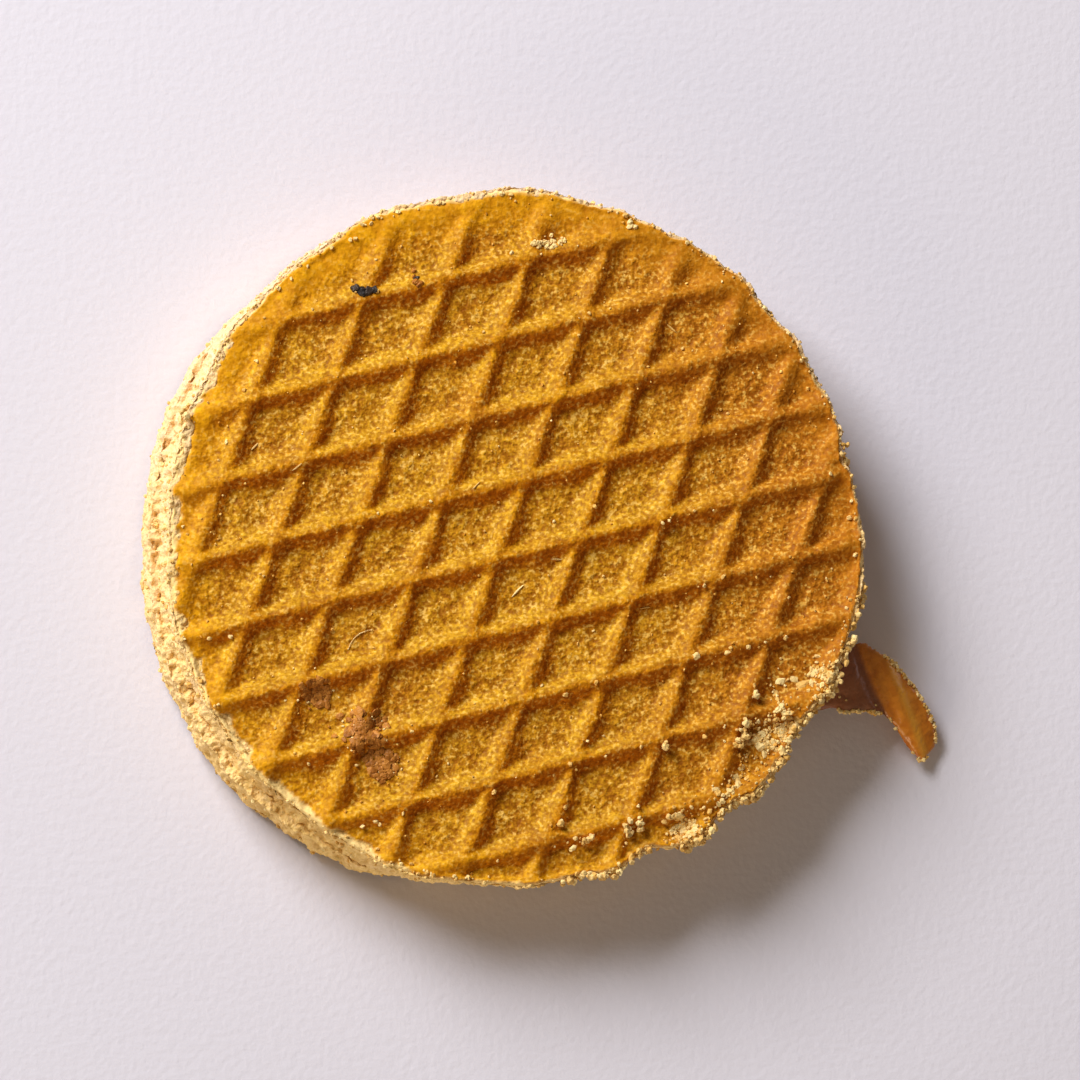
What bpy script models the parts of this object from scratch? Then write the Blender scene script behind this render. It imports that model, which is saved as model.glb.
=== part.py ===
"""A small stroopwafel: two thin waffle halves with a layer of caramel syrup between them.

It lies flat on its lower wafer. The origin is the middle of that wafer's underside, where two
pressed ridges cross, and +Z points up. Blender works in metres, so sizes are given times MM.
"""

import math
import random

import bmesh
import bpy
from mathutils import Vector

MM = 0.001

# The two wafers
WAFER_RADIUS = 30.0 * MM
WAFER_THICKNESS = 3.4 * MM  # from the split inner face to the tops of the ridges
OUTLINE_POINTS = 132
EDGE_ROUNDING = 0.35 * MM
RIM_WIDTH = 5.0 * MM  # where the lattice fades out, a smoother rim falls away to the edge
RIM_DROP = 0.5 * MM
UPPER_SHIFT = Vector((1.1 * MM, 0.75 * MM))  # the halves were put together a little out of line

# The lattice that the waffle iron presses
RIDGE_PITCH = 6.1 * MM
RIDGE_TOP = 0.5 * MM
RIDGE_SHOULDER = 1.2 * MM
RIDGE_FOOT = 2.6 * MM
SHOULDER_DEPTH = 0.25 * MM
POCKET_DEPTH = 1.05 * MM
FLOOR_CROWN = 0.15 * MM  # a pocket's floor is this much higher in its middle
LOW_RIDGE_DROP = 0.15 * MM  # the steep ridges end this much below the ones they cross
SHALLOWEST_POCKET = 0.3 * MM
DEPTH_SPREAD = 0.07  # pockets differ by this share of their depth
PATTERN_RADIUS = 33.5 * MM  # the lattice has faded out here
FADE_WIDTH = 8.0 * MM
CUTTER_HEADROOM = 0.15 * MM
CUTTER_REACH = 1.2 * WAFER_RADIUS  # cutters end this far from the middle, outside every edge

# The caramel
CARAMEL_THICKNESS = 1.4 * MM
CARAMEL_RADIUS = 29.0 * MM
CARAMEL_POINTS = 120
CONTACT_GAP = 0.3 * MM  # the solids stay this far apart where the real layers touch

# Heights, from the surface that the waffle lies on
CARAMEL_BOTTOM = WAFER_THICKNESS + CONTACT_GAP
UPPER_BOTTOM = CARAMEL_BOTTOM + CARAMEL_THICKNESS + CONTACT_GAP


def clear_scene():
    for obj in list(bpy.data.objects):
        bpy.data.objects.remove(obj)


def food_material(name, colour, roughness):
    material = bpy.data.materials.new(name)
    material.use_nodes = True
    shader = material.node_tree.nodes["Principled BSDF"]
    shader.inputs["Base Color"].default_value = (*colour, 1.0)
    shader.inputs["Roughness"].default_value = roughness
    shader.inputs["Metallic"].default_value = 0.0
    return material


def finish_object(name, bm, material):
    """Turns a bmesh into a named object with flat facets and one material."""
    mesh = bpy.data.meshes.new(name)
    bm.to_mesh(mesh)
    bm.free()
    mesh.materials.append(material)
    obj = bpy.data.objects.new(name, mesh)
    bpy.context.scene.collection.objects.link(obj)
    return obj


def smoothstep(value):
    value = min(1.0, max(0.0, value))
    return value * value * (3.0 - 2.0 * value)


def angle_between(a, b):
    """The angle from b to a in degrees, from -180 to 180."""
    return (a - b + 180.0) % 360.0 - 180.0


class Outline:
    """A hand-made round edge: a circle with slow waves and a few broken or crumbled places."""

    def __init__(self, radius, waves, chips):
        self.radius = radius
        self.waves = waves  # (how many round the edge, height, phase in degrees)
        self.chips = chips  # (middle in degrees, half width in degrees, depth)

    def radius_at(self, degrees):
        radius = self.radius
        for count, height, phase in self.waves:
            radius += height * math.cos(math.radians(count * degrees + phase))
        for middle, half_width, depth in self.chips:
            nearness = 1.0 - abs(angle_between(degrees, middle)) / half_width
            radius -= depth * smoothstep(1.6 * nearness)
        return radius

    def ring(self, points, inset, centre):
        """Points that follow the edge all the way round, moved in by inset."""
        places = []
        for step in range(points):
            degrees = 360.0 * step / points
            reach = self.radius_at(degrees) - inset
            turn = math.radians(degrees)
            places.append(centre + reach * Vector((math.cos(turn), math.sin(turn))))
        return places


def bridge_rings(bm, lower, upper):
    count = len(lower)
    for here in range(count):
        after = (here + 1) % count
        bm.faces.new((lower[here], lower[after], upper[after], upper[here]))


def close_stack(bm, rings):
    """Joins rings of equal length into a closed body, lowest first, and gives its bottom face."""
    for lower, upper in zip(rings, rings[1:]):
        bridge_rings(bm, lower, upper)
    bm.faces.new(rings[-1])
    return bm.faces.new(list(reversed(rings[0])))


class Lattice:
    """Two families of parallel ridges that cross and leave diamond-shaped pockets."""

    def __init__(self, angles, offsets, pattern_centre):
        self.normals = [
            Vector((-math.sin(math.radians(a)), math.cos(math.radians(a)))) for a in angles
        ]
        self.offsets = offsets
        self.pattern_centre = pattern_centre

    def crossing(self, first, second):
        """The point that lies first from the origin along one normal and second along the other."""
        a, b = self.normals
        area = a.x * b.y - a.y * b.x
        return Vector(((first * b.y - second * a.y) / area, (a.x * second - b.x * first) / area))

    def fade(self, point):
        """1 where the iron pressed to full depth, falling to 0 at the edge of its pattern."""
        distance = (point - self.pattern_centre).length
        return smoothstep((PATTERN_RADIUS - distance) / FADE_WIDTH)

    def pocket_corners(self, column, row, inset):
        """Four corners of one pocket, moved in from the middle lines of its ridges."""
        first = self.offsets[0] + column * RIDGE_PITCH
        second = self.offsets[1] + row * RIDGE_PITCH
        low_a, high_a = first + inset, first + RIDGE_PITCH - inset
        low_b, high_b = second + inset, second + RIDGE_PITCH - inset
        pairs = ((low_a, low_b), (high_a, low_b), (high_a, high_b), (low_a, high_b))
        return [self.crossing(a, b) for a, b in pairs]


def add_pocket(bm, lattice, column, row, depth_share):
    """One pocket's cutter, from its floor up to above the ridges. Outside the lattice: none."""
    corners = lattice.pocket_corners(column, row, RIDGE_FOOT / 2.0)
    if POCKET_DEPTH * max(lattice.fade(corner) for corner in corners) < SHALLOWEST_POCKET:
        return
    slope = (RIDGE_SHOULDER - RIDGE_TOP) / 2.0 / SHOULDER_DEPTH
    mouth_inset = RIDGE_TOP / 2.0 - slope * CUTTER_HEADROOM
    levels = (
        (RIDGE_FOOT / 2.0, -POCKET_DEPTH * depth_share),
        (RIDGE_SHOULDER / 2.0, -SHOULDER_DEPTH),
        (mouth_inset, CUTTER_HEADROOM),
    )
    rings = []
    for inset, height in levels:
        ring = []
        for corner in lattice.pocket_corners(column, row, inset):
            pressed = height
            if height < 0.0:
                pressed *= max(lattice.fade(corner), SHALLOWEST_POCKET / POCKET_DEPTH)
            ring.append(bm.verts.new((corner.x, corner.y, pressed)))
        rings.append(ring)
    floor = close_stack(bm, rings)
    middle = bmesh.ops.poke(bm, faces=[floor])["verts"][0]
    middle.co.z += FLOOR_CROWN


def add_trench(bm, lattice, column):
    """A shallow trench between two high ridges, which takes the top off the low ridges in it."""
    across = lattice.normals[0]
    direction = Vector((across.y, -across.x))
    first = lattice.offsets[0] + column * RIDGE_PITCH
    levels = (
        (RIDGE_SHOULDER / 2.0, -LOW_RIDGE_DROP),
        (RIDGE_TOP / 2.0, 0.0),
        (0.0, CUTTER_HEADROOM),
    )
    rings = []
    for inset, height in levels:
        near, far = first + inset, first + RIDGE_PITCH - inset
        sides = ((near, 1.0), (far, 1.0), (far, -1.0), (near, -1.0))
        corners = [across * side + direction * end * CUTTER_REACH for side, end in sides]
        rings.append([bm.verts.new((corner.x, corner.y, height)) for corner in corners])
    close_stack(bm, rings)


def finish_cutter(name, bm, body):
    """Makes a cutter whose height zero is at the ridge tops of the body that it belongs to."""
    bmesh.ops.triangulate(bm, faces=bm.faces[:])
    bmesh.ops.recalc_face_normals(bm, faces=bm.faces[:])
    cutter = finish_object(name, bm, food_material(name, (0.5, 0.5, 0.5), 1.0))
    cutter.hide_render = True
    cutter.display_type = "WIRE"
    cutter.parent = body
    cutter.location = (0.0, 0.0, WAFER_THICKNESS)
    press = body.modifiers.new(name, "BOOLEAN")
    press.operation = "DIFFERENCE"
    press.object = cutter


def press_pockets(body, lattice, seed):
    bm = bmesh.new()
    chance = random.Random(seed)
    reach = math.ceil(2.0 * CUTTER_REACH / RIDGE_PITCH)  # the two families cross at a slant
    for column in range(-reach, reach):
        for row in range(-reach, reach):
            share = 1.0 + DEPTH_SPREAD * chance.uniform(-1.0, 1.0)
            add_pocket(bm, lattice, column, row, share)
    finish_cutter(body.name + "_pockets", bm, body)


def press_low_ridges(body, lattice):
    bm = bmesh.new()
    reach = math.ceil(WAFER_RADIUS / RIDGE_PITCH) + 1
    for column in range(-reach, reach):
        add_trench(bm, lattice, column)
    finish_cutter(body.name + "_trenches", bm, body)


def wafer(name, outline, lattice, seed, material):
    """One half of the waffle: its split face at height zero and its pressed ridges on top."""
    bm = bmesh.new()
    rings = []
    # Each level is how far in it lies, its height, and its share of the rim's drop.
    levels = (
        (0.0, 0.0, 0.0),
        (0.0, WAFER_THICKNESS - EDGE_ROUNDING, 1.0),
        (EDGE_ROUNDING, WAFER_THICKNESS, 1.0),
        (RIM_WIDTH, WAFER_THICKNESS, 0.0),
    )
    for inset, height, drop_share in levels:
        ring = []
        for place in outline.ring(OUTLINE_POINTS, inset, Vector((0.0, 0.0))):
            drop = drop_share * RIM_DROP * (1.0 - lattice.fade(place))
            ring.append(bm.verts.new((place.x, place.y, height - drop)))
        rings.append(ring)
    close_stack(bm, rings)
    body = finish_object(name, bm, material)
    press_low_ridges(body, lattice)
    press_pockets(body, lattice, seed)
    return body


def lower_wafer(material):
    """The half underneath. A piece of its edge has broken away at the front."""
    waves = ((2, 0.15 * MM, 40.0), (5, 0.16 * MM, 10.0), (11, 0.1 * MM, 70.0))
    chips = ((297.0, 20.0, 1.3 * MM), (268.0, 21.0, 1.7 * MM), (133.0, 7.0, 0.5 * MM))
    outline = Outline(WAFER_RADIUS + 0.2 * MM, waves, chips)
    # Modelled ridges up, then turned over about its X axis, which brings a crossing to the origin.
    lattice = Lattice((-22.0, -78.0), (0.0, 0.0), Vector((-1.5 * MM, 1.2 * MM)))
    turned_chips = tuple((-middle, width, depth) for middle, width, depth in outline.chips)
    turned_waves = tuple((count, height, -phase) for count, height, phase in outline.waves)
    turned = Outline(outline.radius, turned_waves, turned_chips)
    body = wafer("lower_wafer", turned, lattice, 7, material)
    body.rotation_euler = (math.pi, 0.0, 0.0)
    body.location = (0.0, 0.0, WAFER_THICKNESS)
    return body


def upper_wafer(material):
    """The half on top, with the ridges that show. Its edge is chipped and crumbly at the front right."""
    waves = ((1, 0.2 * MM, -12.0), (3, 0.12 * MM, 40.0), (7, 0.12 * MM, 15.0), (13, 0.08 * MM, 0.0))
    chips = (
        (14.0, 4.0, 0.5 * MM),
        (63.0, 4.0, 0.35 * MM),
        (103.0, 10.0, 0.35 * MM),
        (281.0, 4.0, 0.35 * MM),
        (293.5, 4.0, 0.8 * MM),
        (309.0, 5.0, 0.55 * MM),
        (329.0, 6.0, 0.7 * MM),
    )
    outline = Outline(WAFER_RADIUS, waves, chips)
    lattice = Lattice((14.0, 70.0), (-1.4 * MM, 0.85 * MM), Vector((1.5 * MM, -1.8 * MM)))
    body = wafer("upper_wafer", outline, lattice, 3, material)
    body.location = (UPPER_SHIFT.x, UPPER_SHIFT.y, UPPER_BOTTOM)
    return body


def caramel_layer(material):
    """The syrup that runs through the whole waffle, with a soft, slightly bulging edge."""
    waves = ((2, 0.35 * MM, 0.0), (5, 0.3 * MM, 50.0), (9, 0.22 * MM, 120.0))
    chips = ((297.0, 20.0, 0.8 * MM), (268.0, 21.0, 1.3 * MM))
    outline = Outline(CARAMEL_RADIUS, waves, chips)
    bm = bmesh.new()
    rings = []
    for inset, share in ((0.5 * MM, 0.0), (0.0, 0.3), (0.0, 0.7), (0.5 * MM, 1.0)):
        height = CARAMEL_BOTTOM + share * CARAMEL_THICKNESS
        places = outline.ring(CARAMEL_POINTS, inset, UPPER_SHIFT / 2.0)
        rings.append([bm.verts.new((place.x, place.y, height)) for place in places])
    close_stack(bm, rings)
    return finish_object("caramel", bm, material)


# The tongue of syrup that was squeezed out at the right front: a flat ribbon, given by its two
# edges seen from above, the height of its middle and half its thickness.
TONGUE_STATIONS = (
    # left x, y, right x, y, height, half thickness
    (24.0, -13.0, 24.5, -5.5, 4.40, 0.45),
    (27.2, -14.0, 28.2, -6.5, 4.40, 0.50),
    (28.9, -15.0, 30.4, -7.8, 4.15, 0.50),
    (30.8, -14.9, 32.0, -9.0, 3.45, 0.45),
    (32.7, -15.0, 33.8, -10.0, 2.65, 0.50),
    (33.8, -15.7, 35.4, -11.6, 2.05, 0.62),
    (34.7, -16.8, 36.9, -13.5, 1.55, 0.66),
    (35.6, -17.8, 37.9, -15.6, 1.15, 0.60),
    (36.7, -18.7, 38.0, -17.4, 0.85, 0.35),
)
TONGUE_SIDES = 10


def caramel_tongue(material):
    bm = bmesh.new()
    rings = []
    for left_x, left_y, right_x, right_y, height, half_thickness in TONGUE_STATIONS:
        left = Vector((left_x, left_y, height)) * MM
        right = Vector((right_x, right_y, height)) * MM
        ring = []
        for step in range(TONGUE_SIDES):
            turn = math.tau * step / TONGUE_SIDES
            place = (left + right) / 2.0 + (left - right) / 2.0 * math.cos(turn)
            place.z += half_thickness * MM * math.sin(turn)
            ring.append(bm.verts.new(place))
        rings.append(ring)
    close_stack(bm, rings)
    bmesh.ops.triangulate(bm, faces=bm.faces[:])
    bmesh.ops.recalc_face_normals(bm, faces=bm.faces[:])
    tongue = finish_object("caramel_tongue", bm, material)
    tongue.hide_render = True
    tongue.display_type = "WIRE"
    return tongue


def main():
    clear_scene()
    crust = food_material("baked_wafer", (0.62, 0.33, 0.06), 0.7)
    syrup = food_material("caramel_syrup", (0.35, 0.12, 0.025), 0.25)
    lower_wafer(crust)
    upper_wafer(crust)
    caramel = caramel_layer(syrup)
    join = caramel.modifiers.new("Tongue", "BOOLEAN")
    join.operation = "UNION"
    join.object = caramel_tongue(syrup)


main()
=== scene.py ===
# %% [markdown]
# # A small stroopwafel
#
# A stroopwafel is a thin round waffle that is split while it is hot, spread with caramel syrup and
# pressed together again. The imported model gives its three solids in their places. This lesson gives
# them the surface of the real thing: a baked crust with soft ridges, a torn pale crumb at the edge,
# glossy syrup, and the crumbs that cling to all of it.

import math
import random

import bpy
import numpy as np
from mathutils import Euler, Matrix, Vector, noise
from mathutils.bvhtree import BVHTree


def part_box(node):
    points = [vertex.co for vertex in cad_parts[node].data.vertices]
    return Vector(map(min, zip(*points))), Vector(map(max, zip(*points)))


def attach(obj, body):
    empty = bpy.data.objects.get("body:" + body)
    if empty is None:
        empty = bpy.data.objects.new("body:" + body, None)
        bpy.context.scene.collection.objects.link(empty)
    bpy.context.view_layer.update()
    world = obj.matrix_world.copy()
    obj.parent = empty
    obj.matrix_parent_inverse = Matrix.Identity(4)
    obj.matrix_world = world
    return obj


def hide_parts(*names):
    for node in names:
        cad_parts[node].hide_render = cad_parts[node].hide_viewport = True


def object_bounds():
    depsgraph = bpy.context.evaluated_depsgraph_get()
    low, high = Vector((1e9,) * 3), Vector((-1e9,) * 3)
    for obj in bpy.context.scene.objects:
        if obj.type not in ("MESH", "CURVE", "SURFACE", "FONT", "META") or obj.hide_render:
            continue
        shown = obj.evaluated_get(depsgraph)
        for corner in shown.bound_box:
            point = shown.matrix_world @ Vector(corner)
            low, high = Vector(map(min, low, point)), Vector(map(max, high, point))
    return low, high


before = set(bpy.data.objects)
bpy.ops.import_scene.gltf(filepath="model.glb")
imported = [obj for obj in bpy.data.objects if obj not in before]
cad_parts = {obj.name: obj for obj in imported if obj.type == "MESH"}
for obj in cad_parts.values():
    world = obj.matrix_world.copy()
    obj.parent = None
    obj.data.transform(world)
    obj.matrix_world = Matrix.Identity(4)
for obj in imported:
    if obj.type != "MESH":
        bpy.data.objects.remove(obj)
cad_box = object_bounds()
MM = 0.001
print("nodes", sorted(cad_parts))

# %% [markdown]
# ## Helpers for working as by hand
#
# Operators act on whatever is selected, so each step first makes one object the only selected one.
# Modifiers are applied at once, which leaves plain meshes that can be measured and shaped further.

# %% Helpers
MERGE_DISTANCE = 0.001 * MM


def take(obj):
    """Makes obj the only selected object, and the active one."""
    bpy.ops.object.select_all(action="DESELECT")
    obj.select_set(True)
    bpy.context.view_layer.objects.active = obj


def edit_all(obj, operator, **settings):
    """Runs one edit-mode operator on the whole of a mesh."""
    take(obj)
    bpy.ops.object.mode_set(mode="EDIT")
    bpy.ops.mesh.select_all(action="SELECT")
    operator(**settings)
    bpy.ops.object.mode_set(mode="OBJECT")


def copy_of_node(node, name):
    """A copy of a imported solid, with the split vertices of its loose triangles merged."""
    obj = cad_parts[node].copy()
    obj.data = obj.data.copy()
    obj.name = obj.data.name = name
    obj.parent = None
    for key in list(obj.keys()):
        del obj[key]
    bpy.context.scene.collection.objects.link(obj)
    take(obj)
    bpy.ops.mesh.customdata_custom_splitnormals_clear()
    edit_all(obj, bpy.ops.mesh.remove_doubles, threshold=MERGE_DISTANCE)
    return obj


def cut_away(obj, height, removed_side):
    """Cuts a closed mesh level, closes the cut and removes what lies above (1) or below (-1) it."""
    edit_all(
        obj, bpy.ops.mesh.bisect, plane_co=(0.0, 0.0, height), plane_no=(0.0, 0.0, -removed_side),
        use_fill=True, clear_inner=True, threshold=MERGE_DISTANCE,
    )


def apply_modifier(obj, kind, **settings):
    take(obj)
    modifier = obj.modifiers.new(kind.title(), kind)
    for key, value in settings.items():
        setattr(modifier, key, value)
    bpy.ops.object.modifier_apply(modifier=modifier.name)


def vectors(elements, name):
    """One vector of each vertex or face as an array, one row for each."""
    values = np.empty(len(elements) * 3)
    elements.foreach_get(name, values)
    return values.reshape(-1, 3)


def places(obj):
    return vectors(obj.data.vertices, "co")


def normals(obj):
    return vectors(obj.data.vertices, "normal")


def put(obj, positions):
    obj.data.vertices.foreach_set("co", positions.ravel())
    obj.data.update()


def store(obj, name, values):
    """Keeps one number for each vertex in an attribute that the materials read."""
    attribute = obj.data.attributes.new(name, "FLOAT", "POINT")
    attribute.data.foreach_set("value", np.asarray(values, dtype=np.float32))


def drop_inner_faces(obj, inner):
    """Deletes the chosen faces deep inside and closes each side with one large face."""
    take(obj)
    bpy.context.tool_settings.mesh_select_mode = (False, False, True)
    bpy.ops.object.mode_set(mode="EDIT")
    bpy.ops.mesh.select_all(action="DESELECT")
    bpy.ops.object.mode_set(mode="OBJECT")
    obj.data.polygons.foreach_set("select", inner)
    bpy.ops.object.mode_set(mode="EDIT")
    bpy.ops.mesh.delete(type="FACE")
    bpy.ops.mesh.select_all(action="SELECT")
    bpy.ops.mesh.fill_holes(sides=0)
    bpy.ops.object.mode_set(mode="OBJECT")


def smoothstep(low, high, values):
    share = np.clip((values - low) / (high - low), 0.0, 1.0)
    return share * share * (3.0 - 2.0 * share)


def soft_noise(positions, size, seed):
    """Smooth noise from about -1 to 1, whose lumps are about size across."""
    scaled = positions / size + seed
    return np.array([noise.noise(Vector(point)) for point in scaled])


def grains(positions, size, seed):
    """Packed grains of about one size: 1 on the middle of each, 0 in the valleys between them."""
    scaled = positions / size + seed
    return 1.0 - np.array([min(1.0, noise.voronoi(Vector(point))[0][0] / 0.75) for point in scaled]) ** 2


def outward_from(centre, positions):
    """A level unit vector from the centre towards each point."""
    outward = positions[:, :2] - centre
    return outward / (np.linalg.norm(outward, axis=1, keepdims=True) + 1e-9)


def report(obj):
    obj.data.calc_loop_triangles()
    low, high = places(obj).min(0) / MM, places(obj).max(0) / MM
    print(f"{obj.name}: {len(obj.data.loop_triangles)} triangles, {low.round(1)} to {high.round(1)} mm")

# %% [markdown]
# ## The two halves of the waffle
#
# Each half is measured in heights above its split face, so that one set of functions can finish the
# upper half, whose ridges point up, and the lower half, whose ridges point down.

# %% Measure a half
class Half:
    def __init__(self, node, up):
        self.node = node
        self.up = up
        low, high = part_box(node)
        self.split_face = low.z if up > 0 else high.z
        self.thickness = high.z - low.z
        self.centre = np.array([(low.x + high.x) / 2.0, (low.y + high.y) / 2.0])

    def heights(self, positions):
        return (positions[:, 2] - self.split_face) * self.up

    def put_heights(self, positions, heights):
        positions[:, 2] = self.split_face + self.up * heights

    def reach(self, positions):
        """Distance from the middle of the half, seen from above."""
        return np.hypot(*(positions[:, :2] - self.centre).T)

    def turn(self, positions):
        x, y = (positions[:, :2] - self.centre).T
        return np.arctan2(y, x)

    def side(self, positions, degrees):
        """1 on the side at this turn, falling to 0 on the opposite side."""
        return 0.5 + 0.5 * np.cos(self.turn(positions) - math.radians(degrees))


upper = Half("upper_wafer", 1.0)
lower = Half("lower_wafer", -1.0)
print("thickness of a half", round(upper.thickness / MM, 2), "mm")

# %% [markdown]
# ## Where the edge runs
#
# The edge of a hand-made waffle is not a true circle, and its height changes where the smooth rim
# falls away. Both are read from the solid itself, all the way round, and every later step asks how
# far a point lies inside that edge and how far below it.

# %% Read the edge of a half
EDGE_STEPS = 360
EDGE_BAND = 0.45 * MM
RIM_WIDTH = 5.0 * MM
POCKET_DEPTH = 1.05 * MM


def smooth_round(values, reach=2):
    """Averages a closed row of values with their neighbours on both sides."""
    return sum(np.roll(values, shift) for shift in range(-reach, reach + 1)) / (2 * reach + 1)


class Edge:
    def __init__(self, obj, half):
        self.half = half
        positions = places(obj)
        step = self.step(half.turn(positions))
        reach = half.reach(positions)
        heights = half.heights(positions)
        self.radius = np.zeros(EDGE_STEPS)
        np.maximum.at(self.radius, step, reach)
        outer = reach > self.radius[step] - EDGE_BAND
        self.height = np.zeros(EDGE_STEPS)
        np.maximum.at(self.height, step[outer], heights[outer])
        self.radius = smooth_round(self.radius, 1)
        self.height = smooth_round(self.height)

    def step(self, turn):
        return np.floor(turn / math.tau * EDGE_STEPS).astype(int) % EDGE_STEPS

    def read(self, values, positions):
        """The value that a closed row of them has at the turn of each point."""
        turn = self.half.turn(positions) / math.tau * EDGE_STEPS - 0.5
        return np.interp(turn, np.arange(EDGE_STEPS), values, period=EDGE_STEPS)

    def inside(self, positions):
        """How far each point lies inside the edge, seen from above."""
        return self.read(self.radius, positions) - self.half.reach(positions)

    def edge_height(self, positions):
        return self.read(self.height, positions)

    def ridge_height(self, positions):
        """The height that ridge tops have at each point: flat, but falling away over the rim."""
        fall = self.half.thickness - self.edge_height(positions)
        return self.half.thickness - fall * np.clip(1.0 - self.inside(positions) / RIM_WIDTH, 0, 1)

# %% [markdown]
# ## The pattern of the iron
#
# The iron has two families of grooves that cross. Batter fills the first family to the top, and in
# the second it stays lower. Just beyond each crossing a ridge is thin and low, and it swells on its
# way to the next one, as batter does that was pushed along a groove. So a ridge has the profile of
# a soft tube, and a pocket's floor swells a little in its middle. All of it is one function: how
# deep each point is pressed, from 0 on a ridge top to 1 on a floor.

# %% How deep each point is pressed
RIDGE_PITCH = 6.1 * MM
LOW_RIDGE_DROP = 0.13 * MM
HIGH_NOTCH, LOW_NOTCH = 0.10 * MM, 0.16 * MM
FLOOR_CROWN = 0.08 * MM
HIGH_WIDTH, LOW_WIDTH = 1.08 * MM, 1.06 * MM
WANDER = 0.13 * MM


def tube(distance, half_width):
    """The profile of a ridge: 1 along its middle, falling softly to 0 beyond its half width."""
    return np.exp(-np.abs(distance / half_width) ** 2.2)


def thinning(distance):
    """1 just beyond a ridge that is met, on its lower right side, fading slowly further on."""
    beyond = distance + 1.2 * MM
    spread = np.where(beyond > 0.0, 0.5 * MM, 1.6 * MM)
    return np.exp(-((beyond / spread) ** 2))


def soft_highest(values):
    """The highest of several values in 0 to 1, with a fillet where two of them are alike."""
    sharpness = 12.0
    total = sum(np.exp(sharpness * value) for value in values) - (len(values) - 1)
    return np.log(total) / sharpness


class Pattern:
    """The ridges of one half: the angles of its two families, and the point they start from."""

    def __init__(self, angles, offsets, start, seed):
        self.angles = [math.radians(angle) for angle in angles]
        self.offsets = offsets
        self.start = np.array(start)
        self.seed = seed

    def across(self, spots, family):
        """Distance from the nearest ridge of a family, positive on its upper left side."""
        turn = self.angles[family]
        x, y = (spots - self.start).T
        distance = math.cos(turn) * y - math.sin(turn) * x - self.offsets[family]
        return (distance + RIDGE_PITCH / 2.0) % RIDGE_PITCH - RIDGE_PITCH / 2.0

    def pressed(self, positions):
        wander = [soft_noise(positions, 4.0 * MM, self.seed + 20.0 * step) for step in range(2)]
        spots = positions[:, :2] + WANDER * np.column_stack(wander)
        uneven = 1.0 + 0.14 * soft_noise(positions, 2.6 * MM, self.seed + 50.0)
        first, second = self.across(spots, 0), self.across(spots, 1)
        high = tube(first, HIGH_WIDTH * uneven * (1.0 - 0.26 * thinning(second)))
        high *= 1.0 - HIGH_NOTCH * thinning(second) / POCKET_DEPTH
        low = tube(second, LOW_WIDTH * uneven * (1.0 - 0.28 * thinning(first)))
        low *= 1.0 - (LOW_RIDGE_DROP + LOW_NOTCH * thinning(first)) / POCKET_DEPTH
        middle = np.abs(first * second) / (RIDGE_PITCH / 2.0) ** 2
        crown = FLOOR_CROWN / POCKET_DEPTH * smoothstep(0.05, 0.6, middle)
        return 1.0 - soft_highest([high, low, crown])


upper_pattern = Pattern((14.6, 70.3), (-1.49 * MM, 0.70 * MM), (1.1 * MM, 0.75 * MM), 3.0)
lower_pattern = Pattern((22.0, 78.0), (0.0, 0.0), (0.0, 0.0), 70.0)
print("a ridge is pressed", upper_pattern.pressed(np.zeros((1, 3))).round(2))

# %% [markdown]
# ## The crust
#
# The hot iron presses a smooth, browned skin with rounded ridges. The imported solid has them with
# flat facets, so a copy is rebuilt from small even cells with Remesh, and its pressed side then
# takes the heights of the pattern. Towards the rim the iron pressed less deep, most of all at the
# back left. The skin is thin at the edge: below its lip it draws in, and its ragged border stays
# a little inside the crumb that shows there.

# %% Press the crust
LIP = 0.45 * MM
CRUST_DEPTH = 1.6 * MM
THINNEST_CRUST = 0.42 * MM
DOME = 0.12 * MM
# Turns round the waffle, in degrees from +X
SOFT_RIM_TURN = 108.0
TOASTED_TURN = 10.0
# Ridge flanks facing this turn are painted darker brown as shade, and those facing the light are painted
# lighter yellow.
PAINTED_SHADE_TURN = -48.0
WORN_TURN, WORN_SPREAD = 98.0, 14.0
CLOSED_TURN = 195.0


def press_crust(half, name, cell):
    crust = copy_of_node(half.node, name)
    apply_modifier(crust, "REMESH", mode="VOXEL", voxel_size=cell, use_smooth_shade=True)
    apply_modifier(crust, "SMOOTH", factor=0.5, iterations=3)
    edge = Edge(crust, half)
    cut_away(crust, half.split_face + half.up * (half.thickness - CRUST_DEPTH), -half.up)
    return crust, edge


def depth_share(half, edge, positions):
    """How deep the iron pressed at each point, from 0 to 1. The rim is softest at one side."""
    softer = half.side(positions, SOFT_RIM_TURN)
    fade = smoothstep(0.0, MM * (1.8 + 4.0 * softer), edge.inside(positions))
    return 1.0 - (0.25 + 0.67 * softer) * (1.0 - fade)


def baked_surface(half, edge, pattern, positions):
    """The height of the pressed surface above or below each point, and how deep it is pressed."""
    pressed = pattern.pressed(positions) * depth_share(half, edge, positions)
    dome = DOME * (1.0 - smoothstep(0.0, 3.0 * MM, edge.inside(positions)))
    surface = edge.ridge_height(positions) - dome - POCKET_DEPTH * pressed
    return np.maximum(surface, half.thickness - CRUST_DEPTH + THINNEST_CRUST), pressed


def uneven_outline(pattern, positions):
    """How far the edge is pushed out at each point: ridges run out a little, and dough is uneven."""
    ridge_ends = 0.5 - pattern.pressed(positions)
    return MM * (0.27 * ridge_ends + 0.16 * soft_noise(positions * (1.0, 1.0, 0.3), 2.4 * MM, 90.0))


def closed_share(half, positions):
    """1 at the side where the torn crumb closes over the syrup, 0 all round the rest."""
    return smoothstep(0.70, 0.86, half.side(positions, CLOSED_TURN))


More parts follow.
